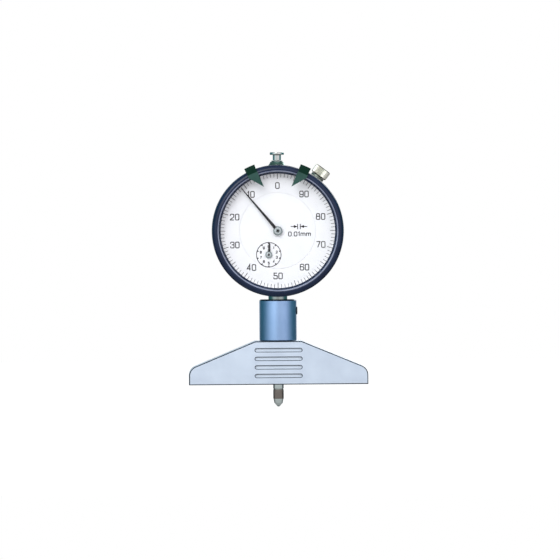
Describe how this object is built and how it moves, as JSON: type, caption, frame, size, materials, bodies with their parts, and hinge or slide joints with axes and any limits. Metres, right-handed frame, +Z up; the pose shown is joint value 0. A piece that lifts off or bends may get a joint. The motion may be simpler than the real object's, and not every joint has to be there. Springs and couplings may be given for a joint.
{
  "type": "dial depth gauge",
  "caption": "Dial depth gauge: round hundredth-millimetre dial indicator held in a sleeve on a sloped steel base, with a contact point through its face and sliding limit hands.",
  "frame": {"origin": "under the middle of the gauge's box, level with the contact point's tip when the spindle is fully out", "axes": "+Z up the spindle, +X to the right of the dial as it is read, -Y out of the dial towards the reader, +Y out of the back cover"},
  "size_m": [0.075, 0.0222, 0.1067],
  "materials": {
    "base_steel": "ground, pale blue-grey",
    "sleeve_blue": "satin blue anodised",
    "bezel_navy": "gloss blue-black",
    "case_green": "satin dark grey-green",
    "tab_green": "satin dark green",
    "steel": "turned and ground",
    "dark_steel": "blackened",
    "contact_steel": "turned, with a knurled grip",
    "cap_chrome": "polished",
    "knob_silver": "fine knurled, warm silver",
    "brass": "brushed",
    "spring_steel": "drawn wire",
    "dial_white": "matt white with printed graduations",
    "hand_black": "satin black",
    "crystal_clear": "clear and flat",
    "gasket_black": "matt black"
  },
  "bodies": {
    "gauge_body": {"base_block": "base_steel", "base_sleeve": "sleeve_blue", "sleeve_clamp_screw": "dark_steel", "indicator_stem": "steel", "lower_stem_bush": "brass", "upper_spindle_bush": "steel", "indicator_case": "case_green", "bezel_spring_ring": "spring_steel", "back_cover": "bezel_navy", "back_cover_screw_1": "steel", "back_cover_screw_2": "steel", "back_cover_screw_3": "steel", "back_cover_screw_4": "steel", "main_plate": "brass", "front_bridge": "brass", "bridge_post_1": "brass", "bridge_post_2": "brass", "bridge_post_3": "brass", "bridge_screw_1": "steel", "bridge_screw_2": "steel", "bridge_screw_3": "steel", "center_back_bush": "steel", "center_front_bush": "steel", "counter_cock": "brass", "cock_screw": "steel", "guide_rail": "steel", "spring_post": "steel", "return_spring": "spring_steel", "hairspring": "spring_steel", "hairspring_stud": "brass", "inner_dial": "dial_white", "clamp_collar": "case_green", "clamp_shoe": "steel"},
    "spindle_unit": {"spindle": "steel", "contact_point": "contact_steel", "lifting_cap": "cap_chrome", "guide_pin": "steel"},
    "pointer_unit": {"center_arbor": "steel", "pointer": "hand_black", "pointer_boss": "steel"},
    "counter_unit": {"counter_arbor": "steel", "counter_wheel": "brass", "counter_hand": "hand_black"},
    "hairspring_unit": {"hairspring_arbor": "steel", "hairspring_wheel": "brass", "hairspring_collet": "brass"},
    "bezel_unit": {"bezel": "bezel_navy", "crystal": "crystal_clear", "crystal_gasket": "gasket_black", "dial_ring": "dial_white", "dial_spacer_ring": "bezel_navy", "dial_snap_ring": "spring_steel"},
    "left_limit": {"limit_hand_left": "tab_green"},
    "right_limit": {"limit_hand_right": "tab_green"},
    "bezel_clamp": {"bezel_clamp_knob": "knob_silver", "bezel_clamp_stud": "steel"}
  },
  "joints": [
    {"name": "spindle_slide", "type": "slide", "parent": "gauge_body", "child": "spindle_unit", "axis": [0, 0, 1], "range_m": [0, 0.0105], "stiffness_N_per_m": 45, "springref_m": -0.02, "deforming": ["return_spring"]},
    {"name": "pointer_turn", "type": "hinge", "parent": "gauge_body", "child": "pointer_unit", "pos_m": [0, 0.00255, 0.0738], "axis": [0, 1, 0], "range_deg": [0, 3781]},
    {"name": "counter_turn", "type": "hinge", "parent": "gauge_body", "child": "counter_unit", "pos_m": [-0.0038, 0.00255, 0.0638], "axis": [0, 1, 0], "range_deg": [-378.5, 0]},
    {"name": "hairspring_turn", "type": "hinge", "parent": "gauge_body", "child": "hairspring_unit", "pos_m": [0.00344, 0.00255, 0.07724], "axis": [0, 1, 0], "range_deg": [-946, 0]},
    {"name": "bezel_turn", "type": "hinge", "parent": "gauge_body", "child": "bezel_unit", "pos_m": [0, 0.00255, 0.0738], "axis": [0, 1, 0], "continuous": true},
    {"name": "left_limit_turn", "type": "hinge", "parent": "bezel_unit", "child": "left_limit", "pos_m": [0, 0.00255, 0.0738], "axis": [0, 1, 0], "range_deg": [-130, 18]},
    {"name": "right_limit_turn", "type": "hinge", "parent": "bezel_unit", "child": "right_limit", "pos_m": [0, 0.00255, 0.0738], "axis": [0, 1, 0], "range_deg": [-18, 130]},
    {"name": "bezel_clamp_turn", "type": "hinge", "parent": "gauge_body", "child": "bezel_clamp", "pos_m": [0, 0.00135, 0.0738], "axis": [0.6018, 0, 0.7986], "range_deg": [0, 270]}
  ],
  "couplings": [
    {"joint": "pointer_turn", "follows": "spindle_slide", "rad_per_m": 6283.2},
    {"joint": "counter_turn", "follows": "spindle_slide", "rad_per_m": -628.32},
    {"joint": "hairspring_turn", "follows": "spindle_slide", "rad_per_m": -1570.8}
  ]
}
